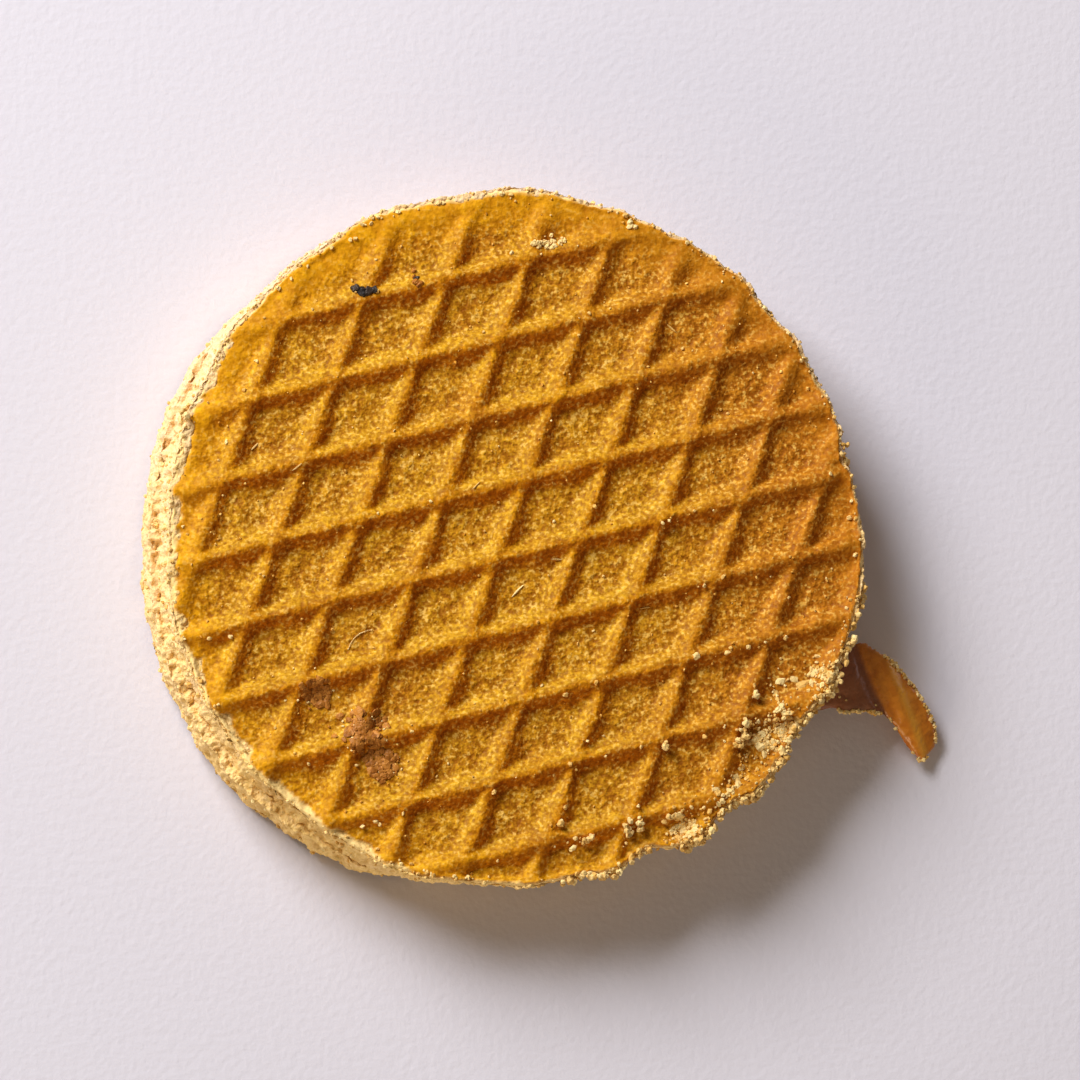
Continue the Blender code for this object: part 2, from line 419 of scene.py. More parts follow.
def crumb_border(half, edge, pattern, positions):
    """How far each point lies inside the line where skin begins and pale crumb ends."""
    spots = positions * (1.0, 1.0, 0.0)
    ragged = soft_noise(spots, 1.5 * MM, 21.0) + 0.6 * soft_noise(spots, 0.6 * MM, 33.0)
    beside = (np.degrees(half.turn(positions)) - WORN_TURN) / WORN_SPREAD
    between_ridges = pattern.pressed(positions) - 0.35
    torn_side = np.clip(0.35 + 0.5 * between_ridges + 0.45 * ragged, 0.0, 1.1)
    width = 0.21 + 0.16 * ragged + 0.42 * np.exp(-beside ** 2)
    width += closed_share(half, positions) * torn_side
    return edge.inside(positions) - MM * width


def press_pattern(crust, half, edge, pattern):
    """Gives the pressed side the heights of the pattern, and stores how deep each point is."""
    positions = places(crust)
    heights = half.heights(positions)
    surface, pressed = baked_surface(half, edge, pattern, positions)
    on_top = heights > half.thickness - 1.3 * MM
    weight = on_top * smoothstep(0.25 * MM, 0.8 * MM, edge.inside(positions))
    heights += (surface - heights) * weight
    half.put_heights(positions, heights)
    put(crust, positions)
    store(crust, "pressed", pressed * weight)


def shape_crust(crust, half, edge, pattern, seed):
    """Moves the vertices of the crust as a baked surface is uneven, and stores what they are."""
    positions = places(crust)
    inside = edge.inside(positions)
    cut_height = half.thickness - CRUST_DEPTH
    above_cut = half.heights(positions) > cut_height + 0.01 * MM
    at_edge = 1.0 - smoothstep(0.1 * MM, 1.3 * MM, inside)
    surface, _ = baked_surface(half, edge, pattern, positions)
    below_skin = np.minimum(surface, edge.edge_height(positions)) - half.heights(positions)
    under_lip = smoothstep(LIP, 3.0 * LIP, below_skin) * at_edge
    outward = outward_from(half.centre, positions)

    ragged = soft_noise(positions, 1.3 * MM, seed + 5.0) + 0.8 * soft_noise(positions, 0.5 * MM, seed)
    near_edge = 1.0 - smoothstep(0.3 * MM, 2.0 * MM, inside)
    moved_out = uneven_outline(pattern, positions) * near_edge
    drawn_in = MM * (1.1 * under_lip + at_edge * np.clip(0.04 + 0.12 * ragged, 0.0, 0.35))
    past_border = crumb_border(half, edge, pattern, positions)
    deepest = 0.18 + 0.16 * closed_share(half, positions)
    dip = deepest * (1.0 - smoothstep(-0.35 * MM, 0.3 * MM, past_border))
    softer = half.side(positions, SOFT_RIM_TURN)
    rim = (0.4 + 0.6 * softer) * (1.0 - smoothstep(0.6 * MM, RIM_WIDTH, inside))
    sizes = ((1.9, 3.0), (0.9, 7.0), (0.48, 1.0))
    relief = sum(0.05 * soft_noise(positions, size * MM, seed + shift) for size, shift in sizes)
    relief *= 1.0 - 0.7 * rim
    crumbled = 1.0 - smoothstep(0.0, 0.8 * MM, past_border)
    relief += 0.12 * crumbled * soft_noise(positions, 0.36 * MM, seed + 11.0)
    relief += 0.10 * soft_noise(positions, 7.0 * MM, seed + 9.0) - 0.05
    facing = normals(crust)
    torn = smoothstep(0.5, 1.3, below_skin / LIP + 0.5 * ragged) * at_edge
    torn *= 1.0 - smoothstep(0.45, 0.8, np.abs(facing[:, 2]))
    torn = np.maximum(torn, 1.0 - smoothstep(-0.15 * MM, 0.1 * MM, past_border))
    positions[:, :2] += outward * (moved_out - drawn_in)[:, None]
    positions += facing * (MM * relief)[:, None]
    positions[:, 2] -= half.up * MM * dip
    heights = half.heights(positions)
    heights[above_cut] = np.maximum(heights[above_cut], cut_height + 0.05 * MM)
    half.put_heights(positions, heights)
    put(crust, positions)

    store(crust, "rim", rim)
    store(crust, "torn", torn)
    toasted = smoothstep(0.45, 1.0, half.side(positions, TOASTED_TURN))
    toasted *= smoothstep(8.0 * MM, 27.0 * MM, half.reach(positions))
    store(crust, "toasted", toasted)
    # Painted light and shade: 1 on ridge flanks turned away from the light, painted darker, 0 on flanks
    # facing it, painted lighter.
    painted_shade_side = math.radians(PAINTED_SHADE_TURN)
    towards_it = normals(crust)[:, :2] @ np.array([math.cos(painted_shade_side), math.sin(painted_shade_side)])
    store(crust, "painted_shade_side", 0.5 + 0.5 * np.clip(1.6 * towards_it, -1.0, 1.0))


def bake_crust(half, pattern, name, cell, seed):
    crust, edge = press_crust(half, name, cell)
    press_pattern(crust, half, edge, pattern)
    shape_crust(crust, half, edge, pattern, seed)
    report(crust)
    return crust, edge


upper_crust, upper_edge = bake_crust(upper, upper_pattern, "upper_crust", 0.218 * MM, 2.0)
lower_crust, lower_edge = bake_crust(lower, lower_pattern, "lower_crust", 0.24 * MM, 60.0)

# %% [markdown]
# ## The crumb
#
# Between crust and syrup the waffle is pale and porous. It shows all round the edge, where the
# waffle was cut out and pulled open. It starts as the same solid with its pressed side cut off,
# rebuilt from finer cells, because its small holes are the detail that tells it from dough.
# What lies deep inside is never seen, so those cells go and one large face closes each side.

# %% Cut the crumb
CRUMB_CELL = 0.125 * MM
CRUST_OVER_CRUMB = 0.15 * MM
# The crumb is painted warmer towards this turn, on the side away from the window light, as warm reflected
# light.
WARM_BOUNCE_TURN = 262.0
RECESS_TURN, RECESS_SPREAD = 233.0, 13.0
FLARE = {"upper_wafer": 0.8 * MM, "lower_wafer": -0.3 * MM}


def cut_crumb(half, edge, pattern, name, kept):
    """The crumb of one half, kept as far in from the edge as can be seen."""
    crumb = copy_of_node(half.node, name)
    below_pockets = half.thickness - POCKET_DEPTH - CRUST_OVER_CRUMB
    cut_away(crumb, half.split_face + half.up * below_pockets, half.up)
    positions = places(crumb)
    on_top = half.heights(positions) > below_pockets - 0.05 * MM
    target = edge.edge_height(positions) - CRUST_OVER_CRUMB
    positions[on_top, 2] = half.split_face + half.up * target[on_top]
    put(crumb, positions)
    apply_modifier(crumb, "REMESH", mode="VOXEL", voxel_size=CRUMB_CELL, use_smooth_shade=True)
    sink_inner_top(crumb, half, edge, pattern)
    drop_inner_faces(crumb, edge.inside(vectors(crumb.data.polygons, "center")) > kept)
    return crumb


def sink_inner_top(crumb, half, edge, pattern):
    """Brings the top of the crumb below the crust, and below the pocket floors further in."""
    positions = places(crumb)
    heights = half.heights(positions)
    surface, _ = baked_surface(half, edge, pattern, positions)
    heights = np.minimum(heights, surface - 0.1 * MM)
    low = half.thickness - POCKET_DEPTH - 0.5 * MM
    keep = 1.0 - smoothstep(0.9 * MM, 1.5 * MM, edge.inside(positions))
    sunk = np.where(heights > low, low + (heights - low) * keep, heights)
    half.put_heights(positions, sunk)
    put(crumb, positions)


def open_crumb(crumb, half, edge, pattern, seed):
    """Gives the crumb its holes and lumps. At the left it almost closes over the syrup."""
    positions = places(crumb)
    lumps = soft_noise(positions, 2.2 * MM, seed)
    coarse = grains(positions, 0.95 * MM, seed + 3.0)
    fine = grains(positions, 0.48 * MM, seed + 6.0)
    holes = smoothstep(0.2, 0.5, soft_noise(positions, 1.0 * MM, seed + 9.0))
    relief = 0.12 * lumps + 0.18 * (coarse - 0.6) + 0.20 * (fine - 0.6) - 0.22 * holes
    inside = edge.inside(positions)
    shown = 1.0 - smoothstep(1.2 * MM, 2.0 * MM, inside)
    facing = normals(crumb)
    surface, _ = baked_surface(half, edge, pattern, positions)
    positions += facing * (MM * relief * shown)[:, None]
    heights = half.heights(positions)
    closed = closed_share(half, positions)
    past_border = crumb_border(half, edge, pattern, positions)
    flare = (1.0 - smoothstep(0.0, 1.6 * MM, heights)) * shown
    outward = outward_from(half.centre, positions)
    moved_out = uneven_outline(pattern, positions) * shown
    positions[:, :2] += outward * (FLARE[half.node] * closed * flare + moved_out)[:, None]
    heights -= MM * (0.15 + 1.25 * closed) * flare
    beside = (np.degrees(half.turn(positions)) % 360.0 - RECESS_TURN) / RECESS_SPREAD
    recess = np.exp(-beside ** 2 - ((past_border + 0.6 * MM) / (0.7 * MM)) ** 2)
    heights -= 0.45 * MM * recess * (half.up > 0.0)
    under_skin = surface - MM * (0.03 + 0.32 * smoothstep(0.1 * MM, 0.5 * MM, past_border))
    heights = np.minimum(heights, under_skin)
    half.put_heights(positions, heights)
    put(crumb, positions)
    # Painted shade: holes, and the recess beside the crust border, are coloured darker and warmer.
    store(crumb, "hole_shade", smoothstep(0.05, 0.45, 0.25 * recess - relief))
    below = (edge.edge_height(positions) - half.heights(positions)) / half.thickness
    store(crumb, "depth", np.clip(below, 0.0, 1.0))
    # Painted warm reflected light: warmer towards one side, with random patches from the lumps.
    skin = smoothstep(0.0, 0.3 * MM, past_border)
    warm_bounce = half.side(positions, WARM_BOUNCE_TURN) + 0.3 * lumps
    store(crumb, "warm_bounce", np.clip(warm_bounce, 0.0, 1.0))
    store(crumb, "skin", skin * smoothstep(0.35, 0.7, facing[:, 2] * half.up) * (below < 0.3))


def tear_crumb(half, edge, pattern, name, kept, seed):
    crumb = cut_crumb(half, edge, pattern, name, kept)
    open_crumb(crumb, half, edge, pattern, seed)
    report(crumb)
    return crumb


upper_crumb = tear_crumb(upper, upper_edge, upper_pattern, "upper_crumb", 1.6 * MM, 14.0)
lower_crumb = tear_crumb(lower, lower_edge, lower_pattern, "lower_crumb", 2.0 * MM, 47.0)

# %% [markdown]
# ## The caramel
#
# The syrup is spread warm and squeezes out a little as the halves are pressed together. A copy of
# its solid is rebuilt from small cells. Its edge swells until it meets both halves, and it draws
# back in some places and bulges in others. The tongue at the right front stays thin.

# %% Spread the caramel
CARAMEL_CELL = 0.16 * MM
CARAMEL_THICKNESS = 1.4 * MM
OVERLAP = 1.12
UNSEEN_RADIUS = 26.5 * MM
TONGUE_ROOT, TONGUE_TIP = np.array([33.3, -9.0]) * MM, np.array([36.7, -17.0]) * MM
TONGUE_SHIFT = np.array([1.1, 1.0])


def spread_caramel():
    caramel = copy_of_node("caramel", "caramel_syrup")
    apply_modifier(caramel, "REMESH", mode="VOXEL", voxel_size=CARAMEL_CELL, use_smooth_shade=True)
    apply_modifier(caramel, "SMOOTH", factor=0.5, iterations=3)
    middles = vectors(caramel.data.polygons, "center")
    drop_inner_faces(caramel, np.hypot(middles[:, 0] - 0.5 * MM, middles[:, 1]) < UNSEEN_RADIUS)
    return caramel


def shape_caramel(caramel):
    positions = places(caramel)
    layer_middle = (upper.split_face + lower.split_face) / 2.0
    free = smoothstep(0.0, 1.6 * MM, -upper_edge.inside(positions))
    gap = upper.split_face - lower.split_face
    swell = 1.0 + (1.0 - free) * (OVERLAP * gap / CARAMEL_THICKNESS - 1.0)
    positions[:, 2] = layer_middle + (positions[:, 2] - layer_middle) * swell
    relief = 0.22 * soft_noise(positions, 3.0 * MM, 5.0) + 0.08 * soft_noise(positions, 0.9 * MM, 8.0)
    positions += normals(caramel) * (relief * MM * (1.0 - 0.6 * free))[:, None]
    outward = outward_from(0.0, positions)
    positions[:, :2] -= outward * (1.0 * MM * closed_share(upper, positions))[:, None]
    positions[:, :2] += (free * MM)[:, None] * TONGUE_SHIFT
    length = np.linalg.norm(TONGUE_TIP - TONGUE_ROOT)
    along = (TONGUE_TIP - TONGUE_ROOT) / length
    across = np.array([-along[1], along[0]])
    aside = (positions[:, :2] - TONGUE_ROOT) @ across / MM
    down = (positions[:, :2] - TONGUE_ROOT) @ along / length
    squeeze = np.where(aside < 0.0, 0.3, 0.0) * smoothstep(0.2, 0.6, down) * free
    positions[:, :2] -= (MM * aside * squeeze)[:, None] * across
    highlit_spine = 0.35 * np.exp(-((aside - 0.7) / 0.7) ** 2) - 0.35 * np.exp(-((aside + 1.5) / 0.5) ** 2)
    on_top = normals(caramel)[:, 2] > 0.0
    positions[:, 2] += MM * highlit_spine * free * on_top
    put(caramel, positions)
    store(caramel, "blade", free * smoothstep(-1.4, -0.8, aside))
    # Painted highlight: a narrow bright stripe along the crest of the tongue.
    store(caramel, "highlit_spine", free * np.exp(-((aside - 1.2) / 0.35) ** 2))


caramel = spread_caramel()
shape_caramel(caramel)
report(caramel)

# %% [markdown]
# ## Shared effects for the finishes
#
# Baked dough is never one colour: it has slow patches from uneven heat, and a fine grain of sugar
# and flour. Both are made once as a node group with its own sizes, and each finish mixes them in
# at its own strength. The groups give masks only, so that every finish keeps its own shader.

# %% Node groups
class Wiring:
    """Adds linked nodes to a tree in the order in which an effect is built up."""

    def __init__(self, tree):
        self.tree = tree

    def add(self, kind, inputs=None, **settings):
        """A new node, with its settings made first and then its inputs fed."""
        node = self.tree.nodes.new(kind)
        for key, value in settings.items():
            setattr(node, key, value)
        for socket, value in (inputs or {}).items():
            self.feed(node.inputs[socket], value)
        return node

    def feed(self, socket, value):
        """Sets a socket to a plain value, or links an output to it."""
        if isinstance(value, bpy.types.NodeSocket):
            self.tree.links.new(value, socket)
        else:
            socket.default_value = value

    def noise(self, scale, detail):
        """A noise mask from 0 to 1 with this many lumps in a metre."""
        spot = self.add("ShaderNodeTexCoord").outputs["Object"]
        inputs = {"Vector": spot, "Scale": scale, "Detail": detail}
        return self.add("ShaderNodeTexNoise", inputs).outputs["Fac"]

    def attribute(self, name):
        return self.add("ShaderNodeAttribute", attribute_name=name).outputs["Fac"]

    def stretch(self, value, low, high, to_low=0.0, to_high=1.0):
        inputs = dict(enumerate((value, low, high, to_low, to_high)))
        return self.add("ShaderNodeMapRange", inputs, clamp=True).outputs["Result"]

    def calculate(self, operation, first, second):
        return self.add("ShaderNodeMath", {0: first, 1: second}, operation=operation).outputs[0]

    def blend(self, share, first, second, mode="MIX"):
        """Mixes two colours: all first at share 0, all second at share 1."""
        inputs = {"Factor": share, 6: colour(first), 7: colour(second)}
        return self.add("ShaderNodeMix", inputs, data_type="RGBA", blend_type=mode).outputs[2]

    def bump(self, height, strength, distance, normal=None):
        inputs = {"Height": height, "Strength": strength, "Distance": distance}
        if normal is not None:
            inputs["Normal"] = normal
        return self.add("ShaderNodeBump", inputs).outputs["Normal"]


def colour(value):
    return (*value, 1.0) if isinstance(value, tuple) else value


def effect_group(name, usual_size, outputs):
    """A node group with a size as its input, which it turns into a scale, and named masks."""
    group = bpy.data.node_groups.new(name, "ShaderNodeTree")
    size = group.interface.new_socket("Size", in_out="INPUT", socket_type="NodeSocketFloat")
    size.default_value = usual_size
    for label in outputs:
        group.interface.new_socket(label, in_out="OUTPUT", socket_type="NodeSocketFloat")
    wiring = Wiring(group)
    entry, leave = wiring.add("NodeGroupInput"), wiring.add("NodeGroupOutput")
    scale = wiring.calculate("DIVIDE", 1.0, entry.outputs["Size"])
    return group, wiring, scale, leave


def uneven_baking():
    """Slow patches, as from a hot plate that is not the same all over."""
    group, wiring, scale, leave = effect_group("uneven baking", 10.0 * MM, ("Patches", "Mottle"))
    for share, label in ((1.0, "Patches"), (5.0, "Mottle")):
        spots = wiring.noise(wiring.calculate("MULTIPLY", scale, share), 2.0)
        wiring.feed(leave.inputs[label], wiring.stretch(spots, 0.3, 0.7))
    return group


def flour_grain():
    """A soft noise for grains of one size."""
    group, wiring, scale, leave = effect_group("flour grain", 0.4 * MM, ("Noise",))
    wiring.feed(leave.inputs["Noise"], wiring.stretch(wiring.noise(scale, 1.0), 0.28, 0.72))
    return group


UNEVEN_BAKING = uneven_baking()
FLOUR_GRAIN = flour_grain()
print("groups", [group.name for group in bpy.data.node_groups])

# %% [markdown]
# ## The baked crust
#
# Ridge tops lie against the hot iron and turn golden, and the pocket floors are a duller, grainy tan.
# The smooth rim is the brightest gold. On each ridge, light and shade are painted too: the flank that
# faces the light is painted lighter and yellower, and the flank turned away a deeper orange brown.
# Where the crust is torn at its lip, pale crumb comes through. The stored numbers of each vertex pick
# the colours.

# %% Crust material
def new_finish(name, roughness, specular):
    material = bpy.data.materials.new(name)
    material.use_nodes = True
    shader = material.node_tree.nodes["Principled BSDF"]
    shader.inputs["Roughness"].default_value = roughness
    shader.inputs["Specular IOR Level"].default_value = specular
    return material, Wiring(material.node_tree), shader


def place_group(wiring, group, size):
    return wiring.add("ShaderNodeGroup", {"Size": size}, node_tree=group).outputs


# Each pair is the darker and the lighter colour that the mottling runs between.
CREST_GOLD = (0.56, 0.205, 0.001), (0.65, 0.272, 0.003)
FLOOR_TAN = (0.45, 0.175, 0.003), (0.57, 0.265, 0.008)
# Painted light and shade on the ridge flanks: the first colour is for flanks facing the light, the second
# for flanks turned away.
LIT_FLANK = (0.52, 0.268, 0.010)
PAINTED_SHADE_FLANK = (0.52, 0.120, 0.001)
SKIN_GOLD = (0.75, 0.335, 0.002)
TOASTED_CRUST = (0.44, 0.138, 0.006)
BURNT_SUGAR = (0.26, 0.072, 0.001)
LOOSE_FLOUR = (0.92, 0.57, 0.12)
TORN_DOUGH = (0.94, 0.68, 0.28)
# These multiply the colour below them.
FINE_GRAIN = (0.64, 0.52, 0.18), (1.33, 1.46, 1.9)
BROAD_GRAIN = (0.88, 0.82, 0.6), (1.12, 1.18, 1.4)


def crust_finish():
    material, wiring, shader = new_finish("baked crust", 0.62, 0.12)
    baking = place_group(wiring, UNEVEN_BAKING, 7.0 * MM)
    grain = place_group(wiring, FLOUR_GRAIN, 0.42 * MM)
    flecks = place_group(wiring, FLOUR_GRAIN, 0.33 * MM)
    lumps = place_group(wiring, FLOUR_GRAIN, 1.1 * MM)
    pressed = wiring.attribute("pressed")

    # The broad colours: golden ridges and rim, tan pocket floors, and painted light and shade on the
    # ridge flanks: lighter yellow on flanks facing the light, darker brown on flanks turned away.
    crest_shade = wiring.blend(baking["Mottle"], *CREST_GOLD)
    floor_shade = wiring.blend(baking["Mottle"], *FLOOR_TAN)
    shade = wiring.blend(wiring.stretch(pressed, 0.35, 0.95), crest_shade, floor_shade)
    painted_shade_side = wiring.attribute("painted_shade_side")
    shade = wiring.blend(wiring.stretch(painted_shade_side, 0.45, 0.1, 0.0, 0.8), shade, LIT_FLANK)
    shade = wiring.blend(wiring.stretch(painted_shade_side, 0.55, 0.9, 0.0, 0.75), shade, PAINTED_SHADE_FLANK)
    rim = wiring.calculate("MULTIPLY", wiring.attribute("rim"), 0.85)
    shade = wiring.blend(rim, shade, SKIN_GOLD)
    # Longer in the heat: the side turned away from the soft rim, and patches anywhere.
    toasted = wiring.calculate("MULTIPLY", wiring.attribute("toasted"), 0.85)
    patches = wiring.stretch(baking["Patches"], 0.55, 1.0, 0.0, 0.35)
    shade = wiring.blend(wiring.calculate("MAXIMUM", toasted, patches), shade, TOASTED_CRUST)
    # The grain: a soft unevenness, then scattered dark and cream flecks of sugar and flour.
    smoother = wiring.calculate("MULTIPLY", wiring.attribute("rim"), 0.45)
    rough_floors = wiring.stretch(pressed, 0.3, 0.9, 0.78, 1.1)
    strength = wiring.calculate("SUBTRACT", rough_floors, smoother)
    centred = wiring.calculate("MULTIPLY", wiring.calculate("SUBTRACT", grain["Noise"], 0.5), strength)
    specks = wiring.blend(wiring.stretch(centred, -0.5, 0.5), *FINE_GRAIN)
    shade = wiring.blend(1.0, shade, specks, "MULTIPLY")
    for low, high, fleck in ((0.42, 0.10, BURNT_SUGAR), (0.61, 0.92, LOOSE_FLOUR)):
        mask = wiring.stretch(flecks["Noise"], low, high, 0.0, 0.6)
        shade = wiring.blend(wiring.calculate("MULTIPLY", mask, strength), shade, fleck)
    broad = wiring.blend(lumps["Noise"], *BROAD_GRAIN)
    shade = wiring.blend(1.0, shade, broad, "MULTIPLY")
    shade = wiring.blend(wiring.attribute("torn"), shade, TORN_DOUGH)
    wiring.feed(shader.inputs["Base Color"], shade)

    wiring.feed(shader.inputs["Roughness"], wiring.stretch(grain["Noise"], 0.0, 1.0, 0.5, 0.75))
    height = wiring.calculate("MULTIPLY", grain["Noise"], strength)
    normal = wiring.bump(height, 1.0, 0.07 * MM)
    normal = wiring.bump(flecks["Noise"], 0.4, 0.07 * MM, normal)
    normal = wiring.bump(lumps["Noise"], 0.6, 0.12 * MM, normal)
    wiring.feed(shader.inputs["Normal"], normal)
    return material


def dress(obj, material):
    obj.data.materials.clear()
    obj.data.materials.append(material)


crust_material = crust_finish()
for crust in (upper_crust, lower_crust):
    dress(crust, crust_material)

# %% [markdown]
# ## The torn crumb
#
# Inside, the dough stayed pale. The walls between its holes catch the light. The holes, and a recess
# beside the crust at the lower left, are painted darker and warmer as shade. The side turned away from
# the light is painted warmer, as warm reflected light, in random patches. Towards the crust it is
# toasted a little.

# %% Crumb material
DOUGH = (0.84, 0.58, 0.35), (0.89, 0.695, 0.50)
WARM_LIGHT_DOUGH = (0.96, 0.68, 0.27)
HOLE_SHADE_TAN = (0.68, 0.43, 0.14)
TOASTED_DOUGH = (0.84, 0.52, 0.10)
DOUGH_GRAIN = (0.90, 0.86, 0.72), (1.06, 1.08, 1.2)


def crumb_finish():
    material, wiring, shader = new_finish("pale crumb", 0.85, 0.15)
    baking = place_group(wiring, UNEVEN_BAKING, 4.0 * MM)
    grain = place_group(wiring, FLOUR_GRAIN, 0.32 * MM)
    shade = wiring.blend(baking["Mottle"], *DOUGH)
    # Painted warm reflected light on the side turned from the window light, in random patches.
    shade = wiring.blend(wiring.attribute("warm_bounce"), shade, WARM_LIGHT_DOUGH)
    # Painted shade in the holes and in the recess beside the crust.
    hole_shade = wiring.calculate("MULTIPLY", wiring.attribute("hole_shade"), 0.8)
    shade = wiring.blend(hole_shade, shade, HOLE_SHADE_TAN)
    toasted = wiring.calculate("MULTIPLY", wiring.stretch(wiring.attribute("depth"), 0.30, 0.05), 0.25)
    shade = wiring.blend(toasted, shade, TOASTED_DOUGH)
    specks = wiring.blend(grain["Noise"], *DOUGH_GRAIN)
    shade = wiring.blend(1.0, shade, specks, "MULTIPLY")
    shade = wiring.blend(wiring.attribute("skin"), shade, SKIN_GOLD)
    wiring.feed(shader.inputs["Base Color"], shade)
    wiring.feed(shader.inputs["Normal"], wiring.bump(grain["Noise"], 0.8, 0.12 * MM))
    return material


crumb_material = crumb_finish()
for crumb in (upper_crumb, lower_crumb):
    dress(crumb, crumb_material)

# %% [markdown]
# ## The syrup
#
# Cooked sugar syrup is amber brown, glossy and a little clear at thin places. A bright amber stripe
# along the crest of the tongue is a painted highlight.

# %% Caramel material
SYRUP_BROWN = (0.24, 0.075, 0.035), (0.36, 0.13, 0.05)
AMBER = (0.52, 0.15, 0.010), (0.70, 0.25, 0.018)
HIGHLIGHT_AMBER = (0.80, 0.35, 0.03)


def caramel_finish():
    material, wiring, shader = new_finish("caramel syrup", 0.22, 0.5)
    baking = place_group(wiring, UNEVEN_BAKING, 5.0 * MM)
    shade = wiring.blend(baking["Patches"], *SYRUP_BROWN)
    amber = wiring.blend(baking["Mottle"], *AMBER)
    shade = wiring.blend(wiring.attribute("blade"), shade, amber)
    # Painted highlight along the crest of the tongue.
    shade = wiring.blend(wiring.attribute("highlit_spine"), shade, HIGHLIGHT_AMBER)
    wiring.feed(shader.inputs["Base Color"], shade)
    wiring.feed(shader.inputs["Roughness"], wiring.stretch(baking["Mottle"], 0.0, 1.0, 0.14, 0.38))
    wiring.feed(shader.inputs["Normal"], wiring.bump(baking["Mottle"], 0.5, 0.15 * MM))
    return material


caramel_material = caramel_finish()
dress(caramel, caramel_material)

# %% [markdown]
# ## Ride and replace
#
# Each piece moves with the waffle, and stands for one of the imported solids.

# %% Hand the pieces over
for piece, node, slot in (
    (upper_crust, "upper_wafer", "wafer"),
    (upper_crumb, "upper_wafer", "wafer"),
    (lower_crust, "lower_wafer", "wafer"),
    (lower_crumb, "lower_wafer", "wafer"),
    (caramel, "caramel", "caramel"),
):
    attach(piece, "root")
    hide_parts(node)

# %% [markdown]
# ## Loose crumbs
#
# Crumbs cling to the waffle wherever it was cut or rubbed. Each is a small broken lump: a sphere
# whose vertices are pushed in and out and flattened on a few sides. A handful of such shapes is
# made, and each kind of crumb joins many turned copies of them in one mesh. A ray is cast at the
# finished pieces to find where a crumb comes to lie.

# %% Shapes of crumbs
def crumb_shape(name, seed, subdivisions):
    """One crumb, about 1 mm across."""
    bpy.ops.object.select_all(action="DESELECT")
    bpy.ops.mesh.primitive_ico_sphere_add(subdivisions=subdivisions, radius=0.5 * MM)
    shape = bpy.context.object
    shape.name = name
    positions = places(shape)
    chance = random.Random(seed)
    positions *= np.array([[chance.uniform(0.72, 1.18)] for _ in positions])
    for _ in range(3):
        side = np.array(Vector([chance.gauss(0.0, 1.0) for _ in range(3)]).normalized())
        beyond = np.clip(positions @ side - 0.3 * MM, 0.0, None)
        positions -= beyond[:, None] * side
    put(shape, positions)
    return shape


small_shapes = [crumb_shape(f"small_crumb_{seed}", seed, 1) for seed in range(6)]
large_shapes = [crumb_shape(f"large_crumb_{seed}", seed + 10, 2) for seed in range(8)]
print("crumb shapes", len(small_shapes), "small and", len(large_shapes), "large")


# %% Where crumbs can lie
HIGHEST_CRUMB = 9.0 * MM
LARGE_SHAPE_FROM = 0.35 * MM
FIBRE_CRUMBS = 26
FAR_UP, FAR_OUT = 20.0 * MM, 45.0 * MM
skins = [upper_crust, upper_crumb, lower_crust, lower_crumb, caramel]
trees = [BVHTree.FromObject(skin, bpy.context.evaluated_depsgraph_get()) for skin in skins]


def first_hit(start, heading):
    """The first point that a ray meets, the surface's normal there, and the piece it is on."""
    hits = [(*tree.ray_cast(start, heading), skin) for tree, skin in zip(trees, skins)]
    hits = [hit for hit in hits if hit[0] is not None]
    if not hits:
        return None, None, None
    spot, facing, _, _, skin = min(hits, key=lambda hit: hit[3])
    return spot, facing, skin


def from_above(x, y):
    return first_hit(Vector((x, y, FAR_UP)), Vector((0.0, 0.0, -1.0)))


def from_side(turn, height):
    """Looks at the waffle from outside, level with the table."""
    out = Vector((math.cos(turn), math.sin(turn), 0.0))
    return first_hit(out * FAR_OUT + Vector((0.5 * MM, 0.4 * MM, height)), -out)


def around(turn, reach, shift_x=0.0, shift_y=0.0):
    """A spot by its turn in degrees and its distance in mm from the middle of the upper half."""
    angle = math.radians(turn)
    x, y = upper_pattern.start
    return x + MM * (reach * math.cos(angle) + shift_x), y + MM * (reach * math.sin(angle) + shift_y)


